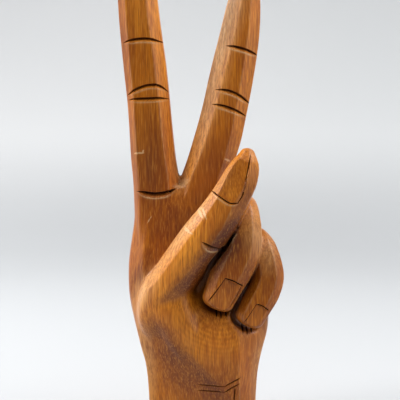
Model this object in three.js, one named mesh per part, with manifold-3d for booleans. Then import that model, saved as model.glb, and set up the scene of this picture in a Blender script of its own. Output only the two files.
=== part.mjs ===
// A carved wooden hand that holds up a V sign, for showing rings and bracelets. The palm faces
// the front, two fingers are raised, two are tucked in and the thumb is folded across the palm.
// Millimetres, +Z up, palm towards -Y, origin in the middle of the sawn end of the wrist.
import * as THREE from "three";
import { mergeVertices } from "three/addons/utils/BufferGeometryUtils.js";
import Module from "manifold-3d";

const wasm = await Module();
wasm.setup();

const DEGREE = Math.PI / 180;

// Driving dimensions of the wrist and the palm

const WRIST_WIDTH = 59.4;
const WRIST_DEPTH = 43;
const WRIST_LENGTH = 42;
const WRIST_FLARE = 1; // how far it widens to each side where it meets the palm

const PALM_LENGTH = 99; // from the wrist to the web between the raised fingers
const THUMB_SIDE = 41.1; // the palm's widest reach from the middle, towards the thumb
const LITTLE_SIDE = 36; // and towards the little finger
const HEEL_FRONT = 25.5; // how far the heel of the palm stands forward
const HOLLOW_FRONT = 12; // and the hollow of the palm above it
const BACK_REACH = 20; // how far the back of the hand stands behind the middle
const KNUCKLE_BACK = 15.5; // and the row of knuckles at the top of it

// Driving dimensions of the raised fingers, measured from the web upwards. A nail and a crease are
// placed by a share of the finger's length, and a crease is tilted by a share of its width.

const ROOT_REACH = 37.8; // the index finger's outer edge at the web
const WEB_GAP = 0.6; // between the two fingers at the web
const ROOT_SINK = 30; // how far a finger's root runs down into the palm
const ROOT_SLIM = 0.25; // how much slimmer it is by then
const RAISED_BACKSET = 3; // the raised fingers' middle plane, behind that of the wrist

const INDEX = {
  length: 113,
  rootWidth: 24.8,
  endWidth: 22.4,
  rootDepth: 24,
  endDepth: 20,
  rootLean: -6,
  endLean: -5.4,
  tipLength: 20,
  flat: 0.66,
  creaseLeft: true,
  nail: { place: 0.885, width: 12, length: 20, pitch: 13 },
  creases: [
    { place: -0.075, tilt: 0.04 },
    { place: 0.374, tilt: 0.02 },
    { place: 0.42, tilt: 0.08 },
    { place: 0.65, tilt: 0.02 },
  ],
};
const MIDDLE = {
  length: 115,
  rootWidth: 27.2,
  endWidth: 23.4,
  rootDepth: 25,
  endDepth: 20.5,
  rootLean: 17,
  endLean: 11,
  tipLength: 50,
  flat: 0.34,
  creaseLeft: false,
  nail: { place: 0.878, width: 11, length: 20, pitch: 14 },
  creases: [
    { place: 0.322, tilt: -0.312 },
    { place: 0.391, tilt: -0.35 },
    { place: 0.596, tilt: -0.257 },
  ],
};

// Driving dimensions of the folded fingers. A joint is placed by shares of the palm: across by its
// half width, forward by how far its heel stands out, and down from the web by its length. Its
// breadth and thickness are shares of the finger's width and depth.

const THUMB = {
  width: 24,
  depth: 25,
  joints: [
    { across: -0.5, forward: 0.1, down: 0.86, breadth: 1, thickness: 0.9 },
    { across: -0.584, forward: 0.353, down: 0.758, breadth: 1.08, thickness: 1 },
    { across: -0.5, forward: 0.588, down: 0.582, breadth: 1, thickness: 1 },
    { across: 0.062, forward: 0.882, down: 0.285, breadth: 0.96, thickness: 0.96 },
    { across: 0.358, forward: 0.941, down: 0.12, breadth: 0.854, thickness: 0.88 },
    { across: 0.524, forward: 0.922, down: -0.05, breadth: 0.742, thickness: 0.68 },
  ],
  tipLength: 12,
  flat: 0.5,
  nail: { place: 0.96, width: 14, length: 28, pitch: 9 },
  creasePlace: 0.6,
};
const RING = {
  width: 20,
  depth: 16,
  joints: [
    { across: 0.488, forward: -0.176, down: 0.505, breadth: 0.95, thickness: 1 },
    ...bentKnuckle({ across: 0.563, forward: 0.314, down: 0.155, arch: 0.482, slant: -0.033 }),
    { across: 0.457, forward: 0.843, down: 0.469, breadth: 1, thickness: 1.06 },
    { across: 0.265, forward: 0.902, down: 0.646, breadth: 0.925, thickness: 0.94 },
  ],
  tipLength: 7,
  flat: 0.5,
  nail: { place: 1, width: 10.2, length: 16, pitch: 5 },
};
const LITTLE = {
  width: 16.5,
  depth: 14,
  joints: [
    { across: 0.687, forward: -0.137, down: 0.606, breadth: 0.97, thickness: 1 },
    ...bentKnuckle({ across: 0.752, forward: 0.255, down: 0.338, arch: 0.392, slant: 0.218 }),
    { across: 0.898, forward: 0.686, down: 0.551, breadth: 1.03, thickness: 1.07 },
    { across: 0.708, forward: 0.765, down: 0.709, breadth: 0.94, thickness: 0.93 },
  ],
  tipLength: 6,
  flat: 0.5,
  nail: { place: 1, width: 8, length: 13, pitch: 5 },
};

// A knuckle bent double: the finger comes up behind it, runs over it and down in front.
function bentKnuckle({ across, forward, down, arch, slant }) {
  return [-90, -45, 0, 45, 90].map((turn) => {
    const reach = arch * Math.sin(turn * DEGREE);
    const drop = (arch * (1 - Math.cos(turn * DEGREE)) * HEEL_FRONT) / PALM_LENGTH;
    const place = { across: across + slant * reach, forward: forward + reach, down: down + drop };
    return { ...place, breadth: 1, thickness: 1 };
  });
}

// Driving dimensions of the knife work

const JOIN_GAP = 0.3; // between the members of the hand
const TUCK = 2.6; // the hollow cut round a tucked fingertip
const TUCK_START = 0.78; // where along the finger that hollow starts
const CREASE_WIDTH = 1.5;
const CREASE_DEPTH = 1.8;
const NAIL_DEPTH = 0.8;
const ARRIS_EASE = 0.3; // how much of each flat the eased corners take
const SIDE_FLAT = 0.42; // the share of a limb's depth that its flat sides take
const BLOCK_FLAT = 0.6; // the share of the palm's width that its flat front takes
const PARING_TOP = 65; // how high the long flat pared off the wrist's thumb side runs up
const PARING_FRONT = 34; // how high it crosses the middle of the wrist's front
const PARING_SIDE = 15; // and the front edge of its flat thumb side
const PARING_FOOT = 15; // below this it is plumb
const PARING_LAP = 1; // how far the plumb flat and the slanted one lap
const FINE_CUT = 0.6; // the size of the wrist's fine creases, against the fingers' creases
const WRIST_CREASES = [
  [
    { share: -0.13, up: 0.793 },
    { share: 0.38, up: 0.793 },
    { share: BLOCK_FLAT, up: 0.857 },
    { share: 0.69, up: 0.883 },
  ],
  [
    { share: -0.13, up: 0.731 },
    { share: 0.37, up: 0.731 },
    { share: BLOCK_FLAT, up: 0.8 },
  ],
  [
    { share: 0.56, up: 0.69 },
    { share: 0.56, up: 0.548 },
  ],
]; // by shares of the wrist's half width and of its length

const STEPS = 20; // sections along a limb
const TIP_STEPS = 7; // and round its tip

const ACROSS = new THREE.Vector3(1, 0, 0);
const UP = new THREE.Vector3(0, 0, 1);
const WEB_HEIGHT = WRIST_LENGTH + PALM_LENGTH;
const PALM_REACH = (THUMB_SIDE + LITTLE_SIDE) / 2;

const wood = new THREE.MeshStandardMaterial({ color: 0xa4672f, roughness: 0.42, metalness: 0 });

// Solids from geometries, and back

function solidOf(geometry) {
  geometry.deleteAttribute("normal");
  geometry.deleteAttribute("uv");
  const merged = mergeVertices(geometry, 1e-4);
  const mesh = new wasm.Mesh({
    numProp: 3,
    vertProperties: new Float32Array(merged.attributes.position.array),
    triVerts: new Uint32Array(merged.index.array),
  });
  return new wasm.Manifold(mesh);
}

function geometryOf(solid) {
  const mesh = solid.getMesh();
  const geometry = new THREE.BufferGeometry();
  geometry.setAttribute("position", new THREE.BufferAttribute(mesh.vertProperties, 3));
  geometry.setIndex(new THREE.BufferAttribute(mesh.triVerts, 1));
  return geometry;
}

// The largest piece of a cut solid: the knife's offcuts fall away.
function keptPiece(solid) {
  return solid.decompose().reduce((most, piece) => (piece.volume() > most.volume() ? piece : most));
}

const above = (solid, height) => solid.trimByPlane([0, 0, 1], height);
const below = (solid, height) => solid.trimByPlane([0, 0, -1], -height);

// The corners of a whittled section, across and to the front, both from -1 to 1.
function whittledCorners(flat) {
  return [
    [-flat, 1],
    [flat, 1],
    [1, SIDE_FLAT],
    [1, -SIDE_FLAT],
    [flat, -1],
    [-flat, -1],
    [-1, -SIDE_FLAT],
    [-1, SIDE_FLAT],
  ].map(([x, y]) => new THREE.Vector2(x, y));
}

// The section itself: eight flats with eased corners, anticlockwise seen from the tip.
function whittledSection(flat) {
  const corners = whittledCorners(flat);
  return corners.flatMap((corner, i) => {
    const start = corner.clone().lerp(corners[(i + 7) % 8], ARRIS_EASE);
    const end = corner.clone().lerp(corners[(i + 1) % 8], ARRIS_EASE);
    return [start, new THREE.QuadraticBezierCurve(start, corner, end).getPoint(0.5), end];
  });
}

// A closed skin over a row of rings that have as many points each.
function skin(rings) {
  const count = rings[0].length;
  const points = rings.flat();
  const middleOf = (ring) =>
    ring.reduce((sum, point) => sum.add(point), new THREE.Vector3()).divideScalar(count);
  const base = points.push(middleOf(rings[0])) - 1;
  const tip = points.push(middleOf(rings[rings.length - 1])) - 1;
  const top = (rings.length - 1) * count;
  const index = [];
  for (let i = 0; i < count; i++) {
    const next = (i + 1) % count;
    for (let r = 0; r < top; r += count) {
      index.push(r + i, r + next, r + count + i);
      index.push(r + next, r + count + next, r + count + i);
    }
    index.push(base, next, i);
    index.push(tip, top + i, top + next);
  }
  return solidOf(new THREE.BufferGeometry().setFromPoints(points).setIndex(index));
}

// A section's own directions: its width is kept level across, its front is square to that.
function sectionFrame(heading) {
  const across = ACROSS.clone().addScaledVector(heading, -ACROSS.dot(heading)).normalize();
  const front = new THREE.Vector3().crossVectors(across, heading);
  return { across, front };
}

// A point on a limb's section, given across and to the front.
function sectionPoint({ centre, heading, width, depth }, point, grow = 0) {
  const { across, front } = sectionFrame(heading);
  return centre
    .clone()
    .addScaledVector(across, point.x * (width / 2 + grow))
    .addScaledVector(front, point.y * (depth / 2 + grow));
}

// A limb through its stations, rounded over at its far end by a quarter ellipse.
function limb(stations, { tipLength, flat }, grow = 0) {
  const section = whittledSection(flat);
  const ring = (station, reach) => section.map((point) => sectionPoint(station, point, reach));
  const first = stations[0];
  const root = { ...first, centre: first.centre.clone().addScaledVector(first.along, -grow) };
  const rings = [root, ...stations.slice(1)].map((station) => ring(station, grow));
  const last = stations[stations.length - 1];
  for (let i = 1; i <= TIP_STEPS; i++) {
    const turn = (i / (TIP_STEPS + 0.5)) * 90 * DEGREE;
    const share = Math.cos(turn);
    const centre = last.centre.clone().addScaledVector(last.along, Math.sin(turn) * (tipLength + grow));
    const rounded = { ...last, centre, width: last.width * share, depth: last.depth * share };
    rings.push(ring(rounded, grow * share));
  }
  return skin(rings);
}

// The wrist and the palm are blocks of level sections: how far each reaches to four sides.
function block(rows) {
  const heights = rows.map((row) => row.height);
  const reaches = rows.flatMap((row) => [row.thumb, row.little, row.front, row.back]);
  const smooth = new THREE.CubicInterpolant(heights, reaches, 4);
  const section = whittledSection(BLOCK_FLAT);
  const rings = Array.from({ length: STEPS + 1 }, (_, i) => {
    const height = THREE.MathUtils.lerp(heights[0], heights[heights.length - 1], i / STEPS);
    const [thumb, little, front, back] = smooth.evaluate(height);
    const centre = new THREE.Vector3((little - thumb) / 2, (back - front) / 2, height);
    const station = { centre, heading: UP, width: thumb + little, depth: front + back };
    return section.map((point) => sectionPoint(station, point));
  });
  return skin(rings);
}

// A raised finger has level sections, and leans less or more towards its tip.
function raisedStation(finger, rootAcross, rise) {
  const shaft = finger.length - finger.tipLength;
  const share = rise / shaft;
  const lean = THREE.MathUtils.lerp(finger.rootLean, finger.endLean, share) * DEGREE;
  const meanLean = THREE.MathUtils.lerp(finger.rootLean * DEGREE, lean, 0.5);
  const across = rootAcross + rise * Math.tan(meanLean);
  const slim = 1 - ROOT_SLIM * (Math.min(rise, 0) / ROOT_SINK) ** 2;
  const tipShare = Math.max(rise - shaft, 0) / finger.tipLength;
  const slight = slim * Math.sqrt(1 - tipShare ** 2);
  return {
    centre: new THREE.Vector3(across, RAISED_BACKSET, WEB_HEIGHT + rise),
    heading: UP,
    along: new THREE.Vector3(Math.tan(lean), 0, 1),
    width: THREE.MathUtils.lerp(finger.rootWidth, finger.endWidth, share) * slight,
    depth: THREE.MathUtils.lerp(finger.rootDepth, finger.endDepth, share) * slight,
  };
}

function raisedFinger(finger, rootAcross) {
  const shaft = finger.length - finger.tipLength;
  const stations = Array.from({ length: STEPS + 1 }, (_, i) =>
    raisedStation(finger, rootAcross, THREE.MathUtils.lerp(-ROOT_SINK, shaft, i / STEPS)),
  );
  return limb(stations, finger);
}

// A folded finger follows a curve through its joints; a place on it runs from 0 to 1.
function foldedStation(finger, place) {
  const points = finger.joints.map(
    ({ across, forward, down }) =>
      new THREE.Vector3(across * PALM_REACH, -forward * HEEL_FRONT, WEB_HEIGHT - down * PALM_LENGTH),
  );
  const spine = new THREE.CatmullRomCurve3(points, false, "centripetal");
  const places = finger.joints.map((_, i) => i / (finger.joints.length - 1));
  const girths = finger.joints.flatMap((joint) => [joint.breadth, joint.thickness]);
  const [breadth, thickness] = new THREE.CubicInterpolant(places, girths, 2).evaluate(place);
  const heading = spine.getTangent(place);
  const width = finger.width * breadth;
  const depth = finger.depth * thickness;
  return { centre: spine.getPoint(place), heading, along: heading, width, depth };
}

function foldedFinger(finger, grow = 0, start = 0) {
  const stations = Array.from({ length: STEPS + 1 }, (_, i) =>
    foldedStation(finger, THREE.MathUtils.lerp(start, 1, i / STEPS)),
  );
  return limb(stations, finger, grow);
}

// A knife's V cut: a wedge laid along the surface from one point to another, its edge inwards.
function knifeCut(from, to, outward, size = 1) {
  const heading = to.clone().sub(from).normalize();
  const side = new THREE.Vector3().crossVectors(outward, heading).normalize();
  const out = new THREE.Vector3().crossVectors(heading, side);
  const wedge = new THREE.Shape([
    new THREE.Vector2(0, -CREASE_DEPTH * size),
    new THREE.Vector2(CREASE_WIDTH * size, CREASE_DEPTH * size),
    new THREE.Vector2(-CREASE_WIDTH * size, CREASE_DEPTH * size),
  ]);
  const geometry = new THREE.ExtrudeGeometry(wedge, { depth: from.distanceTo(to), bevelEnabled: false });
  geometry.applyMatrix4(new THREE.Matrix4().makeBasis(side, out, heading).setPosition(from));
  return solidOf(geometry);
}

// Knife cuts from point to point along a surface that faces the front.
function knifeLine(points, heading, size) {
  return points.slice(1).map((point, i) => {
    const outward = new THREE.Vector3().crossVectors(point.clone().sub(points[i]), heading);
    return knifeCut(points[i], point, outward, size);
  });
}

// A crease across the front of a finger, over its front flat and the two beside it.
function crease(finger, station, tilt) {
  const [frontLeft, frontRight, right, , , , , left] = whittledCorners(finger.flat);
  const corners = finger.creaseLeft ? [left, frontLeft, frontRight, right] : [frontLeft, frontRight, right];
  const points = corners.map((corner) =>
    sectionPoint(station, corner).addScaledVector(station.heading, (corner.x * tilt * finger.rootWidth) / 2),
  );
  return knifeLine(points, station.heading, 1);
}

// A short crease on a folded finger, over the corner between its front and the flat on its right.
function foldedCrease(finger, place) {
  const [frontLeft, frontRight, right] = whittledCorners(finger.flat);
  const corners = [frontRight.clone().lerp(frontLeft, 0.4), frontRight, right.clone().lerp(frontRight, 0.4)];
  const station = foldedStation(finger, place);
  return knifeLine(corners.map((corner) => sectionPoint(station, corner)), station.heading, 1);
}

function raisedCreases(finger, rootAcross, creases) {
  return creases.flatMap(({ place, tilt }) =>
    crease(finger, raisedStation(finger, rootAcross, place * finger.length), tilt),
  );
}

// A nail: a shallow flat let into a fingertip, on the side of its section that shows it.
function nail(station, { width, length, pitch }, side) {
  const { across, front } = sectionFrame(station.heading);
  const geometry = new THREE.BoxGeometry(width, length, length);
  geometry.translate(0, 0, side * (length / 2 - NAIL_DEPTH));
  geometry.rotateX(-side * pitch * DEGREE);
  const surface = station.centre.clone().addScaledVector(front, (side * station.depth) / 2);
  geometry.applyMatrix4(new THREE.Matrix4().makeBasis(across, station.heading, front).setPosition(surface));
  return solidOf(geometry);
}

const cutAll = (solid, cuts) => cuts.reduce((rest, cut) => rest.subtract(cut), solid);

// The members before they are parted

const indexRoot = -ROOT_REACH + INDEX.rootWidth / 2;
const middleRoot = indexRoot + INDEX.rootWidth / 2 + WEB_GAP + MIDDLE.rootWidth / 2;
const indexLimb = raisedFinger(INDEX, indexRoot);
const middleLimb = raisedFinger(MIDDLE, middleRoot);

const wristRow = (flare) => ({
  thumb: WRIST_WIDTH / 2 + flare,
  little: WRIST_WIDTH / 2 + flare,
  front: WRIST_DEPTH / 2,
  back: WRIST_DEPTH / 2,
});
const palmRow = (share, thumb, little, front, back) => ({
  height: WRIST_LENGTH + PALM_LENGTH * share,
  thumb,
  little,
  front,
  back,
});
const palmBlock = block([
  { height: WRIST_LENGTH, ...wristRow(WRIST_FLARE) },
  palmRow(0.1, THUMB_SIDE * 0.83, LITTLE_SIDE * 0.92, HEEL_FRONT * 0.94, BACK_REACH * 1.05),
  palmRow(0.23, THUMB_SIDE * 0.925, LITTLE_SIDE, HEEL_FRONT, BACK_REACH),
  palmRow(0.36, THUMB_SIDE * 0.99, LITTLE_SIDE, HEEL_FRONT * 0.84, BACK_REACH),
  palmRow(0.48, THUMB_SIDE, LITTLE_SIDE * 0.97, HOLLOW_FRONT * 1.25, BACK_REACH),
  palmRow(0.64, THUMB_SIDE * 0.945, LITTLE_SIDE * 0.89, HOLLOW_FRONT, BACK_REACH * 0.95),
  palmRow(0.8, ROOT_REACH, LITTLE_SIDE * 0.69, HOLLOW_FRONT * 0.79, KNUCKLE_BACK * 1.06),
  palmRow(0.92, ROOT_REACH * 0.975, LITTLE_SIDE * 0.39, HOLLOW_FRONT * 0.375, KNUCKLE_BACK * 0.87),
]);
const wristBlock = block([
  { height: 0, ...wristRow(0) },
  { height: WRIST_LENGTH * 0.7, ...wristRow(0) },
  { height: WRIST_LENGTH - JOIN_GAP, ...wristRow(WRIST_FLARE) },
]);

// The long flat pared off the wrist and the heel, on the thumb side

const paring = new THREE.Plane().setFromCoplanarPoints(
  new THREE.Vector3(-WRIST_WIDTH / 2, (-WRIST_DEPTH / 2) * SIDE_FLAT, PARING_SIDE),
  new THREE.Vector3(0, -WRIST_DEPTH / 2, PARING_FRONT),
  new THREE.Vector3(-THUMB_SIDE * 0.84, -HEEL_FRONT * 0.74, PARING_TOP),
);
const plumbParing = new THREE.Plane(
  paring.normal.clone().setZ(0),
  paring.constant + paring.normal.z * PARING_FOOT,
).normalize();
const pared = (solid, plane) => solid.trimByPlane(plane.normal.clone().negate().toArray(), plane.constant);
const paredWrist = pared(above(wristBlock, PARING_FOOT), paring).add(
  pared(below(wristBlock, PARING_FOOT + PARING_LAP), plumbParing),
);

// The fine creases on the wrist lie on its front flat and the one beside it.
function wristFront({ share, up }) {
  const beyond = Math.max(share - BLOCK_FLAT, 0) / (1 - BLOCK_FLAT);
  const forward = (WRIST_DEPTH / 2) * (1 - beyond * (1 - SIDE_FLAT));
  return new THREE.Vector3((share * WRIST_WIDTH) / 2, -forward, up * WRIST_LENGTH);
}
const wristCreases = WRIST_CREASES.flatMap((line) => {
  const square = line[0].share === line[1].share ? ACROSS : UP;
  return knifeLine(line.map(wristFront), square, FINE_CUT);
});

const thumbGap = foldedFinger(THUMB, JOIN_GAP);
const ringGap = foldedFinger(RING, JOIN_GAP);
const littleGap = foldedFinger(LITTLE, JOIN_GAP);

// Parting the members

const thumbCrease = foldedCrease(THUMB, THUMB.creasePlace);
const thumb = cutAll(pared(foldedFinger(THUMB), paring), thumbCrease);
const ringFinger = keptPiece(foldedFinger(RING).subtract(thumbGap));
const littleFinger = keptPiece(cutAll(foldedFinger(LITTLE), [ringGap, thumbGap]));
const tuckHollows = [foldedFinger(RING, TUCK, TUCK_START), foldedFinger(LITTLE, TUCK, TUCK_START)];
const fingerRoots = below(indexLimb.add(middleLimb), WEB_HEIGHT);
const palm = keptPiece(
  cutAll(pared(palmBlock.add(fingerRoots), paring), [
    thumbGap,
    ringGap,
    littleGap,
    ...tuckHollows,
    ...raisedCreases(INDEX, indexRoot, INDEX.creases.slice(0, 1)),
  ]),
);
const indexFinger = cutAll(
  above(indexLimb, WEB_HEIGHT + JOIN_GAP),
  raisedCreases(INDEX, indexRoot, INDEX.creases.slice(1)),
);
const middleFinger = keptPiece(
  cutAll(above(middleLimb, WEB_HEIGHT + JOIN_GAP), [
    thumbGap,
    ringGap,
    ...raisedCreases(MIDDLE, middleRoot, MIDDLE.creases),
  ]),
);

const raisedNail = (finger, rootAcross) =>
  nail(raisedStation(finger, rootAcross, finger.nail.place * finger.length), finger.nail, -1);
const foldedNail = (finger, side) => nail(foldedStation(finger, finger.nail.place), finger.nail, side);

const hand = new THREE.Group();
const members = {
  wrist: cutAll(paredWrist, wristCreases),
  palm,
  index_finger: indexFinger.subtract(raisedNail(INDEX, indexRoot)),
  middle_finger: middleFinger.subtract(raisedNail(MIDDLE, middleRoot)),
  ring_finger: ringFinger.subtract(foldedNail(RING, -1)),
  little_finger: littleFinger.subtract(foldedNail(LITTLE, -1)),
  thumb: thumb.subtract(foldedNail(THUMB, 1)),
};
for (const [name, solid] of Object.entries(members)) {
  const mesh = new THREE.Mesh(geometryOf(keptPiece(solid)), wood);
  mesh.name = name;
  hand.add(mesh);
}

export default hand;
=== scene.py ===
"""The looks of a carved wooden hand that holds up a V sign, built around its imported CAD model.

The hand is drawn member by member as whittled limbs, fused into one block as the real one is,
softened where the carver's sandpaper went, cut with a knife and parted again into the seven
members that the CAD model has. Sizes are in millimetres; meshes are in metres.
"""

from __future__ import annotations

import logging
import math
from dataclasses import dataclass, fields
from enum import Enum
from typing import Iterable, Sequence, Union

import bmesh
import bpy
import numpy as np
from mathutils import Euler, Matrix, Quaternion, Vector
from mathutils.bvhtree import BVHTree
from mathutils.kdtree import KDTree


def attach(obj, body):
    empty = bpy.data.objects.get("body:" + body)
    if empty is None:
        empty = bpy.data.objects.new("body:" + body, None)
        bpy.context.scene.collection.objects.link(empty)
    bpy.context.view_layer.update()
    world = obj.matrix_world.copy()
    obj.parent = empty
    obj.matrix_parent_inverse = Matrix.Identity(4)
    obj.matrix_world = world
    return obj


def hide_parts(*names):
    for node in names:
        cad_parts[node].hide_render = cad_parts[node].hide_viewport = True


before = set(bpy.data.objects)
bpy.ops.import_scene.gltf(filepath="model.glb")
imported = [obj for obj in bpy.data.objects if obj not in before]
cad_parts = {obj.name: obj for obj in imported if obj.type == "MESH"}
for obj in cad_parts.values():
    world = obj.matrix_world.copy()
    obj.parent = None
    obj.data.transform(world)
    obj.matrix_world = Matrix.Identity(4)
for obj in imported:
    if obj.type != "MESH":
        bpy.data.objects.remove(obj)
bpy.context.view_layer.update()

MM = 0.001
UP = Vector((0, 0, 1))
ACROSS = Vector((1, 0, 0))
QUARTER = math.pi / 2
LOG = logging.getLogger("carved_hand")

Piece = bpy.types.Object
Socket = bpy.types.NodeSocket
Pair = tuple[float, float]
Triple = tuple[float, float, float]
Value = Union[Socket, float, Sequence[float]]


class Facing(Enum):
    """The side of the hand that a knife comes from."""

    PALM = -1
    BACK = 1


class Join(Enum):
    """What a second form does to a first one."""

    ADD = "UNION"
    CUT = "DIFFERENCE"
    KEEP = "INTERSECT"


class Sum(Enum):
    """What a Math node does with its values."""

    ADD = "ADD"
    LARGER = "MAXIMUM"
    TIMES = "MULTIPLY"
    TIMES_AND_ADD = "MULTIPLY_ADD"


class Blend(Enum):
    """How a second colour goes over a first one."""

    COVER = "MIX"
    STAIN = "MULTIPLY"


# Bench work


def put_down() -> None:
    """Leaves edit mode with nothing selected."""
    if bpy.context.object is not None and bpy.context.object.mode != "OBJECT":
        bpy.ops.object.mode_set(mode="OBJECT")
    bpy.ops.object.select_all(action="DESELECT")


def pick_up(piece: Piece) -> None:
    """Makes one object the only selected and active one.

    Args:
        piece: the object.
    """
    put_down()
    piece.select_set(True)
    bpy.context.view_layer.objects.active = piece


def named(piece: Piece, name: str) -> Piece:
    """Names an object and its mesh, and returns the object."""
    piece.name = piece.data.name = name
    return piece


def copy_of(piece: Piece, name: str) -> Piece:
    """Copies an object with its own mesh.

    Args:
        piece: the object to copy.
        name: the copy's name.

    Returns:
        The copy.
    """
    pick_up(piece)
    bpy.ops.object.duplicate()
    return named(bpy.context.object, name)


def worked(piece: Piece, kind: str, **settings: object) -> Piece:
    """Adds a modifier to an object and applies it.

    Args:
        piece: the object.
        kind: the modifier's type.
        **settings: the modifier's properties.

    Returns:
        The object.
    """
    pick_up(piece)
    bpy.ops.object.modifier_add(type=kind)
    modifier = piece.modifiers[-1]
    for key, value in settings.items():
        setattr(modifier, key, value)
    bpy.ops.object.modifier_apply(modifier=modifier.name)
    return piece


def joined(first: Piece, second: Piece, how: Join, keep_second: bool = False) -> Piece:
    """Adds, cuts or keeps a second form on a first one.

    Args:
        first: the form that changes.
        second: the form that it meets.
        how: what the second one does.
        keep_second: whether the second form is still needed.

    Returns:
        The first form.
    """
    worked(first, "BOOLEAN", operation=how.value, solver="MANIFOLD", object=second)
    if not keep_second:
        mesh = second.data
        bpy.data.objects.remove(second)
        bpy.data.meshes.remove(mesh)
    return first


def sawn(piece: Piece, point: Vector, keep: Vector) -> Piece:
    """Saws a form along a plane, in edit mode.

    Args:
        piece: the form.
        point: a point of the plane, in millimetres.
        keep: the plane's direction, towards the half that stays.

    Returns:
        The form.
    """
    pick_up(piece)
    bpy.ops.object.mode_set(mode="EDIT")
    bpy.ops.mesh.select_all(action="SELECT")
    bpy.ops.mesh.bisect(plane_co=point * MM, plane_no=keep, use_fill=True, clear_inner=True)
    put_down()
    return piece


def drawn(name: str, rings: Sequence[Sequence[Vector]]) -> Piece:
    """Draws a closed form: a disc whose face is extruded from ring to ring.

    Args:
        name: the form's name.
        rings: rows of corners in millimetres, as many in each.

    Returns:
        The form, with its faces outwards.
    """
    put_down()
    bpy.ops.mesh.primitive_circle_add(
        vertices=len(rings[0]), radius=MM, fill_type="NGON", enter_editmode=True
    )
    piece = named(bpy.context.object, name)
    mesh = bmesh.from_edit_mesh(piece.data)
    mesh.verts.ensure_lookup_table()
    for vertex, corner in zip(mesh.verts, rings[0]):
        vertex.co = corner * MM
    bmesh.update_edit_mesh(piece.data)
    for before, after in zip(rings, rings[1:]):
        bpy.ops.mesh.extrude_region_move()
        mesh = bmesh.from_edit_mesh(piece.data)
        for vertex in mesh.verts:
            if vertex.select:
                place = vertex.co / MM
                gaps = [(corner - place).length_squared for corner in before]
                vertex.co = after[gaps.index(min(gaps))] * MM
        bmesh.update_edit_mesh(piece.data)
    bpy.ops.mesh.select_all(action="SELECT")
    bpy.ops.mesh.normals_make_consistent(inside=False)
    put_down()
    return piece


def read(rows: bpy.types.bpy_prop_collection, name: str, width: int, kind: type) -> np.ndarray:
    """Reads one property of all of a mesh's points or edges.

    Args:
        rows: the points or the edges.
        name: the property.
        width: how many numbers each has.
        kind: the numbers' type.

    Returns:
        One row of numbers for each.
    """
    values = np.empty(len(rows) * width, kind)
    rows.foreach_get(name, values)
    return values.reshape(-1, width)


def lengths_along(path: np.ndarray) -> np.ndarray:
    """Returns how far along a path each of its points lies."""
    spans = np.linalg.norm(np.diff(path, axis=0), axis=1)
    return np.concatenate([[0.0], np.cumsum(spans)])


def smooth_through(places: np.ndarray, rows: np.ndarray, wanted: np.ndarray) -> np.ndarray:
    """Draws smooth curves through rows of values.

    Args:
        places: where each row stands along the curve, rising.
        rows: one row of values a place.
        wanted: the places to read.

    Returns:
        One row of values for each place wanted.
    """
    slopes = np.gradient(rows, places, axis=0)
    step = np.clip(np.searchsorted(places, wanted, side="right") - 1, 0, len(places) - 2)
    span = (places[step + 1] - places[step])[:, None]
    t = ((wanted - places[step])[:, None]) / span
    return (
        (2 * t**3 - 3 * t**2 + 1) * rows[step]
        + (t**3 - 2 * t**2 + t) * (slopes[step] * span)
        + (3 * t**2 - 2 * t**3) * rows[step + 1]
        + (t**3 - t**2) * (slopes[step + 1] * span)
    )


def towards(place: Vector, aim: Vector) -> Euler:
    """Returns the turn of a camera or light that stands at a place and looks at an aim."""
    return (aim - place).to_track_quat("-Z", "Y").to_euler()


# Whittled limbs


@dataclass(frozen=True)
class Station:
    """A section of a limb: eight flats in a box, each eased towards an ellipse."""

    x: float
    y: float
    z: float
    width: float
    depth: float
    ease: float = 0.15  # 0 is eight crisp flats, 1 is an ellipse
    left: float = 0.5  # the front flat's reach to the left, as a share of half the width
    right: float = 0.5  # and to the right
    roll: float = 0.0  # how far its front is turned towards the thumb side, in degrees
    back: float = 0.5  # the back flat's reach to both sides
    side: float = 0.42  # the side flats' reach, as a share of half the depth

    THIRDS = (0.0, 1 / 3, 2 / 3)  # where each flat gets its points

    def row(self) -> list[float]:
        """Returns the section's values in the order of its fields."""
        return [getattr(self, f.name) for f in fields(self)]

    def corners(self) -> list[Pair]:
        """Works out the section's points.

        Returns:
            The points, across and to the front, each from -1 to 1.
        """
        flats = [
            (-self.left, 1.0),
            (self.right, 1.0),
            (1.0, self.side),
            (1.0, -self.side),
            (self.back, -1.0),
            (-self.back, -1.0),
            (-1.0, -self.side),
            (-1.0, self.side),
        ]
        points = []
        for (ax, ay), (bx, by) in zip(flats, flats[1:] + flats[:1]):
            for share in self.THIRDS:
                x = ax + (bx - ax) * share
                y = ay + (by - ay) * share
                turn = math.atan2(y, x)
                points.append(
                    (x + (math.cos(turn) - x) * self.ease, y + (math.sin(turn) - y) * self.ease)
                )
        return points


def stations(*rows: Sequence[float]) -> list[Station]:
    """Makes sections from rows of values, in the order of a section's fields."""
    return [Station(*row) for row in rows]


def level_stations(*rows: Sequence[float]) -> list[Station]:
    """Makes level sections from how far they reach to four sides.

    Args:
        *rows: a section's height, its reach towards the thumb, the little finger, the front and the
            back of the hand, and then its fields from the ease on.

    Returns:
        The sections.
    """
    return [
        Station((little - thumb) / 2, (rear - palm) / 2, z, thumb + little, palm + rear, *shape)
        for z, thumb, little, palm, rear, *shape in rows
    ]


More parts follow.
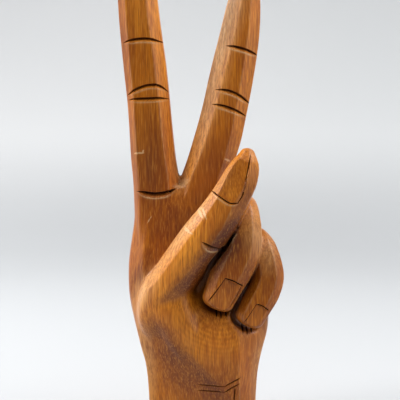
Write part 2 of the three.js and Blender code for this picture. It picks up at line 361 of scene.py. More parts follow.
def raised_finger(edges: Sequence[Triple], depths: Pair, **shape: Pair) -> list[Station]:
    """Makes a raised finger's level sections from its two edges.

    Args:
        edges: height, left edge and right edge, from the root up.
        depths: its depth at the root and at the tip.
        **shape: the sections' other fields, each as a pair from the root to the tip.

    Returns:
        The sections.
    """
    middle = 3.0  # how far it stands towards the back of the hand
    low, high = edges[0][0], edges[-1][0]
    made = []
    for z, left, right in edges:
        share = (z - low) / (high - low)
        depth = depths[0] + (depths[1] - depths[0]) * share
        other = {key: pair[0] + (pair[1] - pair[0]) * share for key, pair in shape.items()}
        made.append(Station((left + right) / 2, middle, z, right - left, depth, **other))
    return made


@dataclass(frozen=True)
class Limb:
    """A member of the hand, drawn along its stations and rounded over at its far end."""

    name: str
    stations: Sequence[Station]
    tip: float = 0.0  # the length that the far end is rounded over
    tip_fullness: float = 2.0  # 2 is a quarter ellipse, more is squarer
    level: bool = True  # whether its sections lie level
    steps: int = 36

    TIP_STEPS = 9
    TIP_FLAT = 0.4  # the part of a step that stays flat at the very end
    NO_FADE = (2.0, 3.0)  # past a limb's end, so nothing runs out

    def build(self, grow: float = 0.0, start: float = 0.0, fade: Pair = NO_FADE) -> Piece:
        """Draws the limb as a closed form.

        Args:
            grow: how much larger it is drawn all round.
            start: where along the limb it starts, from 0 to 1.
            fade: from where to where along the limb that growth runs out.

        Returns:
            The form.
        """
        rows = np.array([station.row() for station in self.stations])
        places = lengths_along(rows[:, :3])
        wanted = np.linspace(start * places[-1], places[-1], self.steps + 1)
        values = smooth_through(places, rows, wanted)
        sections = [Station(*row) for row in values]
        headings = [Vector(row).normalized() for row in np.gradient(values[:, :3], axis=0)]
        growth = grow * np.interp(wanted / places[-1], fade, (1.0, 0.0))
        rings = [self._ring(*section) for section in zip(sections, headings, growth)]
        last, along, more = sections[-1], headings[-1], growth[-1]
        for step in range(1, self.TIP_STEPS + 1 if self.tip else 1):
            reach = math.sin(step / (self.TIP_STEPS + self.TIP_FLAT) * QUARTER)
            share = (1 - reach**self.tip_fullness) ** (1 / self.tip_fullness)
            centre = Vector((last.x, last.y, last.z)) + along * reach * (self.tip + more)
            rings.append(self._ring(Station(*centre, *last.row()[3:]), along, more, share))
        return drawn(self.name + "_form", rings)

    def _ring(
        self, station: Station, heading: Vector, grow: float, share: float = 1.0
    ) -> list[Vector]:
        """Places one section.

        Args:
            station: the section.
            heading: the limb's direction there.
            grow: how much larger it is drawn.
            share: how much of the section's size is left, towards a tip.

        Returns:
            Its corners in millimetres.
        """
        upright = UP if self.level else heading
        across = (ACROSS - upright * ACROSS.dot(upright)).normalized()
        across.rotate(Quaternion(upright, math.radians(-station.roll)))
        front = across.cross(upright)
        centre = Vector((station.x, station.y, station.z))
        return [
            centre
            + across * (x * (station.width / 2 + grow) * share)
            + front * (y * (station.depth / 2 + grow) * share)
            for x, y in station.corners()
        ]


@dataclass(frozen=True)
class Members:
    """The limbs that the block is carved into.

    The palm's front flat ends further to the little finger's side from section to section down the
    wrist, which leaves the long flat that is pared off on the thumb side.
    """

    body: Limb = Limb(
        "palm",
        level_stations(
            (0, 29.5, 29.5, 21.4, 21.4, 0.14, -0.6, 0.72),
            (20, 29.6, 29.6, 21.5, 21.4, 0.18, -0.55, 0.7),
            (29, 29.9, 29.9, 22.6, 21.4, 0.14, -0.4, 0.68),
            (36, 30.5, 30.4, 23.9, 21.4, 0.14, -0.2, 0.66),
            (43, 31.6, 31.5, 24.9, 21.4, 0.14, 0, 0.62),
            (50, 33.8, 33.3, 25.2, 21.2, 0.18, 0.2, 0.6),
            (58, 36.2, 35.8, 24.6, 20.8, 0.36, 0.4, 0.56),
            (66, 38.2, 36.6, 22.8, 20.4, 0.45, 0.56, 0.52),
            (72, 39.6, 36.4, 20.6, 20.1, 0.5, 0.66),
            (78, 40.6, 35.8, 17.6, 20, 0.4, 0.72),
            (86, 41, 34.6, 14.4, 20, 0.25, 0.78),
            (96, 40.8, 33.4, 12.6, 20, 0.25, 0.81),
            (107, 39.3, 31.2, 11.2, 19.2, 0.22, 0.81),
            (118, 37.7, 26, 10.2, 17.6, 0.2, 0.8),
            (128, 37.4, 17, 8.8, 15.4, 0.2, 0.79),
            (137, 36.4, 8, 6.4, 12.4, 0.2, 0.78),
        ),
        steps=60,
    )
    thenar: Limb = Limb(
        "thenar",
        stations(
            (-4, -8, 44, 28, 29, 0.8),
            (-7, -9, 52, 31, 32.6, 0.8),
            (-10.4, -9.6, 60, 32.6, 33.6, 0.8),
            (-15, -9.8, 68, 34, 34.2, 0.8),
            (-16.6, -9.8, 75, 33, 33.4, 0.8),
            (-16, -9.2, 80, 30, 30.4, 0.8),
            (-15.4, -7.6, 84, 23, 24, 0.8),
            (-14.6, -5, 87, 12, 14, 0.8),
        ),
    )
    index_finger: Limb = Limb(
        "index_finger",
        raised_finger(
            [
                (104, -36.2, -14.8), (122, -37.4, -13.2), (141, -38.2, -12.7),
                (150.5, -39.1, -14.3), (161.5, -39.7, -15.6), (172.5, -40.3, -16.7),
                (183.5, -41.1, -17.7), (194.5, -42.3, -18.8), (205.5, -43.4, -20),
                (216, -44.4, -21.5), (227, -45.3, -23), (237.5, -45.9, -24.2),
            ],
            (24.6, 19),
            left=(0.8, 0.62), right=(0.62, 0.44), back=(0.55, 0.5), ease=(0.2, 0.3),
        ),
        tip=16, tip_fullness=2.2,
    )
    middle_finger: Limb = Limb(
        "middle_finger",
        raised_finger(
            [
                (106, -19, 5), (124, -15.6, 9.6), (141, -12, 14.4), (150.5, -8.6, 17.8),
                (161.5, -5.2, 21.2), (172.5, -2, 23.5), (183.5, 0.8, 25.7), (194.5, 3.2, 27.7),
                (205.5, 5.8, 29.4), (216, 8.5, 30.7), (227, 11.2, 31.4), (237.5, 13.9, 31.3),
                (246, 17, 30.4),
            ],
            (25.2, 15.5),
            left=(0.75, 0.08), right=(0.6, 0.36), back=(0.5, 0.4), ease=(0.14, 0.08),
        ),
        tip=9.4, tip_fullness=1.9,
    )
    thumb: Limb = Limb(
        "thumb",
        stations(
            (-14, 3, 49, 16, 14, 0.8),
            (-20.4, -5.6, 60, 26, 25, 0.7, 0.5, 0.5, 10),
            (-21.8, -9.8, 69, 27, 27.6, 0.5, 0.5, 0.5, 26),
            (-21.4, -12.8, 77.9, 24.4, 26.5, 0.6, 0.5, 0.2, 26),
            (-16.1, -15.8, 86.6, 23.8, 25.5, 0.66, 0.46, 0.36, 22),
            (-10.6, -18.2, 94.9, 23.8, 24.6, 0.7, 0.46, 0.44, 18),
            (-4.9, -20.2, 103.3, 23.8, 24, 0.7, 0.46, 0.5, 15),
            (1, -21.8, 111.4, 23.8, 23.4, 0.66, 0.48, 0.54, 13),
            (6.9, -23, 119.3, 22.6, 22.6, 0.5, 0.5, 0.54, 12),
            (16.2, -23.8, 134.8, 19.1, 20.2, 0.12, 0.54, 0.36, 8),
            (20.4, -23.7, 143.6, 17.5, 18, 0.04, 0.58, 0.3, 5),
            (22.5, -23.4, 150.2, 13.5, 14.4, 0.08, 0.58, 0.24, 2),
            (23.3, -22.9, 155, 7.6, 9, 0.2, 0.5, 0.2),
        ),
        tip=2.6, tip_fullness=1.8, level=False, steps=56,
    )
    ring_finger: Limb = Limb(
        "ring_finger",
        stations(
            (18.8, 4.5, 91, 18, 16, 0.4),
            (21.6, 4.6, 112, 19, 16, 0.4),
            (21.2, 0.8, 121.2, 19, 16, 0.4),
            (20.4, -8, 125.4, 18.2, 16, 0.4),
            (20.6, -16.6, 121.2, 19.2, 16, 0.3),
            (21, -20.4, 112.6, 20.2, 16.4, 0.2, 0.6),
            (19.4, -21.6, 103, 21, 17, 0.14, 0.62),
            (15.6, -22.2, 95, 21.6, 17, 0.12, 0.62),
            (11.9, -22.8, 87, 19.4, 16.4, 0.16, 0.6),
            (8.5, -23.2, 79.4, 17.6, 15, 0.2, 0.6),
        ),
        tip=6.4, tip_fullness=2.9, level=False, steps=56,
    )
    little_finger: Limb = Limb(
        "little_finger",
        stations(
            (26.5, 3.5, 81, 16, 14, 0.4),
            (27.2, 3.8, 97, 16.2, 14, 0.4),
            (27.4, 0.4, 104.4, 16.2, 14, 0.4),
            (28.4, -6.5, 107.8, 15.6, 14, 0.4),
            (31, -13.6, 104, 16.2, 14, 0.3),
            (33.6, -16.4, 97, 16.4, 14.6, 0.2, 0.56),
            (34.6, -17.3, 89.6, 17, 15, 0.14, 0.56),
            (32.3, -18.2, 81.9, 17.4, 14.6, 0.12, 0.58),
            (28.5, -19, 75, 16.8, 13.8, 0.12, 0.6),
            (25.6, -19.5, 69.2, 15.8, 13, 0.14, 0.6),
        ),
        tip=6.2, tip_fullness=2.9, level=False, steps=56,
    )

    tuck: float = 2.4  # the hollow cut round a tucked fingertip
    tuck_start: float = 0.72  # where along the finger that hollow starts
    parting: float = 1.9  # the knife's width between the thumb and the ring finger
    parting_end: Pair = (0.64, 0.82)  # where along the thumb it runs out

    def fused(self) -> Piece:
        """Joins the limbs into one block, with hollows round the tucked fingertips.

        Returns:
            The block.
        """
        block = self.body.build()
        for limb in (self.thenar, self.thumb, self.index_finger, self.middle_finger):
            block = joined(block, limb.build(), Join.ADD)
        for finger in (self.ring_finger, self.little_finger):
            block = joined(block, finger.build(self.tuck, self.tuck_start), Join.CUT)
        apart = self.thumb.build(self.parting, fade=self.parting_end)
        ring = joined(self.ring_finger.build(), apart, Join.CUT)
        for finger in (ring, self.little_finger.build()):
            block = joined(block, finger, Join.ADD)
        block.name = "block"
        return block


# Sanding


@dataclass(frozen=True)
class Sanded:
    """A place where the carver's sandpaper went: an ellipsoid, strongest in the middle."""

    centre: Triple
    reach: Triple
    weight: float = 1.0


@dataclass(frozen=True)
class Surface:
    """The skin of the fused block: evenly meshed, sanded soft in places and crisp elsewhere."""

    grit: float = 0.6  # the mesh's spacing
    passes: int = 70  # smoothing passes where the weight is 1
    light_passes: int = 1  # over the whole block
    pull: float = 0.5  # how far one pass draws a point to the middle of its neighbours
    rise: float = 2.2  # how steeply a place's weight rises from its rim
    wear_passes: int = 5  # how wide the surroundings are that an arris stands out from
    wear_from: float = 0.05  # how far it stands out where wear starts
    wear_full: float = 0.22  # and where it is full
    places: Sequence[Sanded] = (
        Sanded((-28, -18, 64), (20, 22, 18)),
        Sanded((-16, -24, 70), (20, 14, 18)),
        Sanded((-38, -8, 110), (14, 18, 44), 0.7),
        Sanded((10, -26, 60), (24, 16, 14), 0.7),
        Sanded((2, -22, 72), (14, 14, 16)),
        Sanded((-4, -25, 44), (30, 12, 30), 0.1),
        Sanded((26, -18, 56), (16, 22, 16), 0.7),
        Sanded((-12, -2, 140), (7, 16, 7), 0.4),
        Sanded((6, -14, 74), (16, 8, 12), 0.5),
        Sanded((26, -14, 66), (14, 8, 10), 0.5),
        Sanded((-4, 20, 100), (60, 16, 58)),
        Sanded((0, 22, 30), (40, 14, 40), 0.4),
        Sanded((25, -6, 130), (10, 14, 9), 0.4),
        Sanded((31, -4, 110), (11, 14, 9), 0.4),
    )

    GROUP = "sanded"

    def finish(self, block: Piece) -> Piece:
        """Meshes the block evenly and sands it.

        Args:
            block: the fused block.

        Returns:
            The block.
        """
        worked(block, "REMESH", mode="VOXEL", voxel_size=self.grit * MM, adaptivity=0)
        worked(block, "SMOOTH", factor=self.pull, iterations=self.light_passes)
        self._weigh(block)
        worked(block, "SMOOTH", factor=self.pull, iterations=self.passes, vertex_group=self.GROUP)
        self._wear(block)
        return block

    def _weigh(self, block: Piece) -> None:
        """Gives each point its share of the sanding, as a vertex group.

        Args:
            block: the evenly meshed block.
        """
        points = read(block.data.vertices, "co", 3, float) / MM
        weights = np.zeros(len(points))
        for place in self.places:
            away = np.linalg.norm((points - place.centre) / place.reach, axis=1)
            fade = np.clip(1 - away, 0, 1)
            weights = np.maximum(weights, place.weight * np.clip(fade * self.rise, 0, 1))
        group = block.vertex_groups.new(name=self.GROUP)
        shares = np.round(weights, 2)
        for share in np.unique(shares[shares > 0]):
            group.add(np.flatnonzero(shares == share).tolist(), float(share), "REPLACE")

    def _wear(self, block: Piece) -> None:
        """Marks how far each point stands out from its surroundings, as an attribute.

        Args:
            block: the sanded block.
        """
        mesh = block.data
        points = read(mesh.vertices, "co", 3, float) / MM
        normals = read(mesh.vertices, "normal", 3, float)
        ends = read(mesh.edges, "vertices", 2, int)
        near = np.bincount(ends.ravel(), minlength=len(points))[:, None]
        smoothed = points.copy()
        for _ in range(self.wear_passes):
            total = np.zeros_like(smoothed)
            np.add.at(total, ends[:, 0], smoothed[ends[:, 1]])
            np.add.at(total, ends[:, 1], smoothed[ends[:, 0]])
            smoothed = (1 - self.pull) * smoothed + self.pull * total / near
        proud = np.einsum("ij,ij->i", points - smoothed, normals)
        worn = np.clip((proud - self.wear_from) / (self.wear_full - self.wear_from), 0, 1)
        attribute = mesh.attributes.new("wear_and_lip_highlight", "FLOAT", "POINT")
        attribute.data.foreach_set("value", worn.astype(np.float32))


# Knife work


@dataclass(frozen=True)
class KnifeLine:
    """A V cut drawn on the front view: its points across and up, its width and its depth."""

    name: str
    points: Sequence[Pair]
    width: float
    depth: float
    facing: Facing = Facing.PALM
    taper: float = 0.3  # the share of its length that runs out at each end
    lean: float = 0.3  # how far the bottom of the V lies towards its upper side
    lip: float = 0.0  # how far its lower edge is painted pale as a highlight


def crease(
    name: str, points: Sequence[Pair], width: float = 2.2, depth: float = 1.7, taper: float = 0.3
) -> KnifeLine:
    """Makes a finger crease: a V with a steep upper wall, its lower lip painted as a highlight.

    Args:
        name: its name.
        points: its points across and up.
        width: its width.
        depth: its depth.
        taper: the share of its length that runs out at each end.

    Returns:
        The line.
    """
    return KnifeLine(name, points, width, depth, taper=taper, lean=0.8, lip=1.7)


def nail_edge(
    name: str, points: Sequence[Pair], size: float, facing: Facing = Facing.PALM
) -> KnifeLine:
    """Makes the fine upright V along a nail, of a size in width and depth."""
    return KnifeLine(name, points, size, size, facing, taper=0.2, lean=0.0)


def chisel_marks(finger: str, *strokes: Sequence[Pair]) -> list[KnifeLine]:
    """Makes the short cuts beside a tucked fingertip.

    Args:
        finger: the finger's name.
        *strokes: the upper and the lower end of each cut, across and up.

    Returns:
        The lines.
    """
    return [
        KnifeLine(f"{finger}_chisel_mark_{count}", stroke, 1.1, 1.2, taper=0.45, lean=0)
        for count, stroke in enumerate(strokes, 1)
    ]


@dataclass(frozen=True)
class NailBed:
    """A nail: a flat let into a fingertip, by its outline on the front view."""

    name: str
    outline: Sequence[Pair]  # from the cuticle round to the free edge
    depth: float  # at the cuticle, the outline's first two points
    run_out: float  # at the free edge, its point furthest from there
    facing: Facing = Facing.PALM


class Knife:
    """Cuts lines and flats where a straight stroke from the front or the back meets the wood."""

    REACH = 120.0  # how far off a stroke starts
    SAMPLES = 25  # the points that a line is drawn with
    UPRIGHT = 0.2  # a line whose side rises less than this is taken as upright
    END_SIZE = 0.12  # a line's size at its very ends
    LIFT = 0.5  # how far over the wood its form starts
    LIP = 1.0  # how wide a lip's painted highlight is
    NAIL_MIDDLE = 0.55  # the share of a nail's outline that gives its slope
    NAIL_LIFT = 9.0  # how far over the wood a nail's form starts

    def __init__(self, block: Piece) -> None:
        """Takes the block's surface as it is now.

        Args:
            block: the sanded block.
        """
        mesh = block.data
        mesh.calc_loop_triangles()
        points = [v.co / MM for v in mesh.vertices]
        triangles = [tuple(t.vertices) for t in mesh.loop_triangles]
        self.surface = BVHTree.FromPolygons(points, triangles)
        self.lip_highlights: list[tuple[Vector, float]] = []

    def touch(self, x: float, z: float, facing: Facing) -> tuple[Vector, Vector]:
        """Finds the surface.

        Args:
            x: the place across.
            z: its height.
            facing: the side that the stroke comes from.

        Returns:
            The point that is met, and the direction out of the wood there.
        """
        start = Vector((x, facing.value * self.REACH, z))
        point, normal, _, _ = self.surface.ray_cast(start, Vector((0, -facing.value, 0)))
        if point is None:
            point, normal, _, _ = self.surface.find_nearest(Vector((x, 0, z)))
        return point, normal

    def line(self, cut: KnifeLine) -> Piece:
        """Draws the wood that one V line takes out.

        Args:
            cut: the line.

        Returns:
            The form to cut away.
        """
        points = np.array(cut.points, float)
        places = lengths_along(points)
        path = smooth_through(places, points, np.linspace(0, places[-1], self.SAMPLES))
        hits = [self.touch(x, z, cut.facing) for x, z in path]
        end = len(hits) - 1
        rings = []
        for i, (point, normal) in enumerate(hits):
            along = (hits[min(i + 1, end)][0] - hits[max(i - 1, 0)][0]).normalized()
            out = (normal - along * normal.dot(along)).normalized()
            side = out.cross(along)
            if side.z < 0 or (abs(side.z) < self.UPRIGHT and side.x < 0):
                side = -side
            edge = min(min(i / end, 1 - i / end) / cut.taper, 1.0)
            size = self.END_SIZE + (1 - self.END_SIZE) * math.sin(edge * QUARTER)
            half = cut.width / 2 * size
            # painted highlight: the crease's lower lip is listed to be painted pale
            if cut.lip:
                self.lip_highlights.append((point - side * half, cut.lip * edge))
            flare = 1 + self.LIFT / (cut.depth * size)
            rings.append(
                [
                    point + out * self.LIFT + side * half * flare,
                    point - out * cut.depth * size + side * half * cut.lean,
                    point + out * self.LIFT - side * half * flare,
                ]
            )
        return drawn(cut.name, rings)

    def highlight_lips(self, block: Piece) -> None:
        """Paints a pale highlight along the lower edges of the creases, through the wear attribute.

        Args:
            block: the block, before it is cut.
        """
        worn = block.data.attributes["wear_and_lip_highlight"].data
        tree = KDTree(len(block.data.vertices))
        for vertex in block.data.vertices:
            tree.insert(vertex.co / MM, vertex.index)
        tree.balance()
        for place, share in self.lip_highlights:
            for _, index, away in tree.find_range(place, self.LIP):
                worn[index].value = max(worn[index].value, share * (1 - away / self.LIP))

    def nail(self, bed: NailBed) -> Piece:
        """Draws the wood that is taken out over one nail.

        Args:
            bed: the nail.

        Returns:
            The form to cut away.
        """
        outline = np.array(bed.outline, float)
        centre = outline.mean(axis=0)
        inside = centre + (outline - centre) * self.NAIL_MIDDLE
        hits = np.array([self.touch(x, z, bed.facing)[0] for x, z in inside])
        middle = hits.mean(axis=0)
        normal = np.linalg.svd(hits - middle)[2][2]
        inward = -bed.facing.value
        cuticle = (outline[0] + outline[1]) / 2
        far = np.argmax(np.linalg.norm(outline - cuticle, axis=1))
        length = outline[far] - cuticle
        length /= length @ length
        floor, mouth = [], []
        for x, z in outline:
            y = middle[1] - (normal[0] * (x - middle[0]) + normal[2] * (z - middle[2])) / normal[1]
            share = np.clip((np.array([x, z]) - cuticle) @ length, 0, 1)
            sunk = y + inward * (bed.depth + (bed.run_out - bed.depth) * share)
            floor.append(Vector((x, sunk, z)))
            mouth.append(Vector((x, y - inward * self.NAIL_LIFT, z)))
        return drawn(bed.name, [floor, mouth])


@dataclass(frozen=True)
class KnifeWork:
    """All that the knife marks on the hand."""

    nails: Sequence[NailBed] = (
        NailBed("ring_nail", [(11.8, 90.6), (20.6, 86.2), (13.4, 72), (2.2, 77.6)], 0.9, 0.5),
        NailBed("little_nail", [(28.4, 76.2), (34.6, 72.6), (27.4, 62), (21, 66.2)], 0.8, 0.4),
        NailBed(
            "thumb_nail",
            [(4.6, 136), (14.9, 129.8), (18, 130.4), (20.4, 134.6)]
            + [(22.2, 142), (23.6, 149), (24.6, 155), (20, 160)],
            0.8, 0.2,
        ),
        NailBed(
            "index_nail",
            [(-37.6, 229.6), (-31.4, 229.6), (-29.2, 232.8), (-29.6, 241)]
            + [(-31.6, 253.4), (-40.4, 253.4), (-41, 241), (-40, 232.8)],
            1.3, 0.3, Facing.BACK,
        ),
        NailBed(
            "middle_nail",
            [(19.4, 231.6), (24.6, 231.6), (26.6, 234.6), (27.2, 244)]
            + [(26.6, 254.6), (21.8, 254.6), (19, 244), (17.6, 234.6)],
            1.3, 0.3, Facing.BACK,
        ),
    )
    lines: Sequence[KnifeLine] = (
        KnifeLine("ring_cuticle", [(11.2, 90.8), (15.6, 89.4), (21.2, 86)], 1, 1, taper=0.12),
        nail_edge("ring_nail_left", [(11.9, 91), (7.6, 84.8), (2.6, 78.2)], 0.8),
        nail_edge("ring_nail_right", [(20.4, 86.8), (17.4, 80.6), (13.8, 74.4)], 0.8),
        KnifeLine(
            "little_cuticle", [(28.0, 76.4), (31.4, 75.2), (34.8, 72.4)], 0.9, 0.9, taper=0.12
        ),
        nail_edge("little_nail_left", [(28.4, 76.6), (25, 71.2), (21.6, 66.4)], 0.7),
        KnifeLine(
            "thumb_cuticle",
            [(4.4, 135.8), (9.4, 132.2), (14.6, 129.4), (18.6, 129.8)],
            1.1, 1.0, taper=0.16, lip=1.5,
        ),
        KnifeLine(
            "thumb_nail_right",
            [(17.6, 129.4), (20.2, 133.4), (21.8, 140), (23.2, 147), (24.6, 154.4)],
            1.0, 1.1, taper=0.16, lean=0.0,
        ),
        *chisel_marks(
            "ring",
            [(7.4, 72.8), (7.5, 68.4)],
            [(9.7, 72.4), (9.8, 67.6)],
            [(12.2, 72.6), (12.5, 68.4)],
        ),
        *chisel_marks(
            "little",
            [(21.2, 63.6), (21.4, 59.6)],
            [(23.5, 62.8), (23.7, 58.8)],
            [(25.9, 63), (26.2, 59.2)],
        ),
        nail_edge(
            "index_cuticle",
            [(-41.2, 242), (-40.4, 233.4), (-37.8, 229.8), (-34.6, 229)]
            + [(-31.2, 229.8), (-29, 233.4), (-29.6, 242)],
            0.9, Facing.BACK,
        ),
        nail_edge(
            "middle_cuticle",
            [(18.8, 243), (17.4, 235.2), (19.2, 231.8), (22, 231)]
            + [(24.8, 231.8), (26.8, 235.2), (27.4, 243)],
            0.9, Facing.BACK,
        ),
        crease("index_top_crease", [(-42.4, 213.8), (-32, 215.2), (-21.4, 214.4)]),
        crease(
            "index_upper_crease",
            [(-40.6, 185.8), (-35, 188.6), (-28.5, 190.6), (-22.5, 190.2), (-18.4, 187.8)],
        ),
        crease("index_lower_crease", [(-39.8, 183.2), (-30, 183.4), (-18.2, 184)]),
        crease(
            "index_root_crease",
            [(-35.6, 134), (-26, 132.2), (-19.5, 133), (-14.4, 135.4)],
            2.9, 2.3,
        ),
        crease("middle_top_crease", [(12.6, 212.2), (21, 210.2), (30, 207.4)]),
        crease("middle_upper_crease", [(7, 188.8), (15.4, 187.2), (20.8, 184.6), (26, 181.2)]),
        crease("middle_lower_crease", [(5.2, 181), (13, 179), (23.8, 174.6)]),
        crease("thumb_crease", [(-0.4, 109.8), (4.4, 106.2), (9.8, 105.2)], 2.8, 2.1, 0.45),
        KnifeLine("wrist_upper_crease", [(-2.6, 31.6), (12, 31.5)], 1, 0.9),
        KnifeLine("wrist_upper_rise", [(11.4, 31.3), (20.8, 36.7)], 1, 0.9),
        KnifeLine("wrist_lower_crease", [(-2.6, 28.2), (12, 28.2)], 1, 0.9),
        KnifeLine("wrist_lower_rise", [(11.4, 28), (19.8, 33.2)], 1, 0.9),
        KnifeLine(
            "wrist_upright_crease", [(17.3, 31.0), (17.1, 27.5), (16.7, 22.5)], 0.9, 0.8, lean=0.0
        ),
    )

    def cut(self, block: Piece) -> None:
        """Cuts every nail and line.

        Args:
            block: the sanded block.
        """
        knife = Knife(block)
        chips = [knife.nail(bed) for bed in self.nails] + [knife.line(cut) for cut in self.lines]
        knife.highlight_lips(block)
        waste = chips[0]
        for chip in chips[1:]:
            waste = joined(waste, chip, Join.ADD)
        joined(block, waste, Join.CUT)


# Finishes


def linear(code: str) -> tuple[float, float, float, float]:
    """Turns an sRGB hex colour into linear values.

    Args:
        code: six hex digits.

    Returns:
        Red, green, blue and 1.
    """
    parts = [int(code[i : i + 2], 16) / 255 for i in (0, 2, 4)]
    values = [p / 12.92 if p <= 0.04045 else ((p + 0.055) / 1.055) ** 2.4 for p in parts]
    return (*values, 1.0)


@dataclass(frozen=True)
class Ramp:
    """How one value leads to another: where it starts and ends, and what comes out there."""

    start: float
    end: float
    low: float = 0.0
    high: float = 1.0
    soft: bool = False


@dataclass(frozen=True)
class Figure:
    """A cloudy pattern, drawn out along the grain."""

    across: float
    along: float
    detail: float  # how many finer layers it has


class Nodes:
    """A new material's nodes, with short calls for the kinds that come often."""

    def __init__(self, name: str) -> None:
        """Starts the material.

        Args:
            name: the material's name.
        """
        self.material = bpy.data.materials.new(name)
        self.material.use_nodes = True
        self.tree = self.material.node_tree
        self.place = self.add("TexCoord")["Object"]

    def add(
        self, kind: str, inputs: dict | None = None, **settings: object
    ) -> bpy.types.bpy_prop_collection:
        """Adds a node.

        Args:
            kind: its type's name, after ShaderNode.
            inputs: a value, or another node's socket, for each input.
            **settings: its own properties.

        Returns:
            The node's outputs.
        """
        node = self.tree.nodes.new("ShaderNode" + kind)
        for key, value in settings.items():
            setattr(node, key, value)
        self._fill(node, inputs or {})
        return node.outputs

    def finish(self, inputs: dict) -> bpy.types.Material:
        """Fills in the material's shader.

        Args:
            inputs: a value, or another node's socket, for each input.

        Returns:
            The material.
        """
        self._fill(self.tree.nodes["Principled BSDF"], inputs)
        return self.material

    def _fill(self, node: bpy.types.Node, inputs: dict) -> None:
        """Sets a node's inputs.

        Args:
            node: the node.
            inputs: a value, or another node's socket, for each input.
        """
        for key, value in inputs.items():
            if isinstance(value, Socket):
                self.tree.links.new(value, node.inputs[key])
            else:
                node.inputs[key].default_value = value

    def math(self, how: Sum, *values: Value, clamp: bool = False) -> Socket:
        """Returns what comes out of a sum."""
        return self.add("Math", dict(enumerate(values)), operation=how.value, use_clamp=clamp)[0]

    def ramp(self, value: Socket, ramp: Ramp, high: Value | None = None) -> Socket:
        """Leads a value along a ramp.

        Args:
            value: the value.
            ramp: the ramp.
            high: what comes out at its end, where the ramp doesn't say so itself.

        Returns:
            What comes out.
        """
        top = ramp.high if high is None else high
        ends = {0: value, 1: ramp.start, 2: ramp.end, 3: ramp.low, 4: top}
        how = "SMOOTHSTEP" if ramp.soft else "LINEAR"
        return self.add("MapRange", ends, interpolation_type=how)[0]

    def mix(self, share: Socket, first: Value, second: Value, how: Blend = Blend.COVER) -> Socket:
        """Returns a first colour with a share of a second one over it."""
        colours = {0: share, 6: first, 7: second}  # a Mix node's inputs for colours
        return self.add("Mix", colours, data_type="RGBA", blend_type=how.value)[2]

    def axes(self, vector: Socket) -> bpy.types.bpy_prop_collection:
        """Returns a vector's X, Y and Z."""
        return self.add("SeparateXYZ", {0: vector})

    def within(self, centre: Triple, half: Triple, turn: float = 0.0) -> Socket:
        """Gives the place inside an ellipsoid's own frame.

        Args:
            centre: its middle, in millimetres.
            half: half its size, in millimetres.
            turn: how far it is turned up from level, in degrees.

        Returns:
            The place, which is 0 in the middle and 1 away from it at the rim.
        """
        inputs = {
            "Vector": self.place,
            "Location": [value * MM for value in centre],
            "Rotation": (0, math.radians(-turn), 0),
            "Scale": [value * MM for value in half],
        }
        return self.add("Mapping", inputs, vector_type="TEXTURE")[0]

    def noise(self, figure: Figure) -> Socket:
        """Adds a pattern that is drawn out along the grain.

        Args:
            figure: the pattern.

        Returns:
            The pattern's value.
        """
        across, along = (1 / (size * MM) for size in (figure.across, figure.along))
        drawn_out = self.add("Mapping", {"Vector": self.place, "Scale": (across, across, along)})[0]
        inputs = {"Vector": drawn_out, "Scale": 1.0, "Detail": figure.detail}
        return self.add("TexNoise", inputs)["Fac"]


@dataclass(frozen=True)
class Patch:
    """A soft patch of tone: its place, half its size, its turn and its strength."""

    place: Triple
    half: Pair  # along and across
    turn: float  # in degrees, from level
    amount: float  # in the middle
    through: float = 16.0  # half its size from front to back
    edged: bool = False  # whether it ends at a line through its middle, on the upper side

    EDGE = Ramp(0.07, -0.16)  # how soft that line is

    def share(self, nodes: Nodes) -> Socket:
        """Adds nodes that give the patch's share at each point.

        Args:
            nodes: the material's nodes.

        Returns:
            The share, which is 1 in the middle.
        """
        local = nodes.within(self.place, (self.half[0], self.through, self.half[1]), self.turn)
        share = nodes.add("TexGradient", {"Vector": local}, gradient_type="SPHERICAL")["Fac"]
        return nodes.ramp(nodes.axes(local)["Z"], self.EDGE, share) if self.edged else share


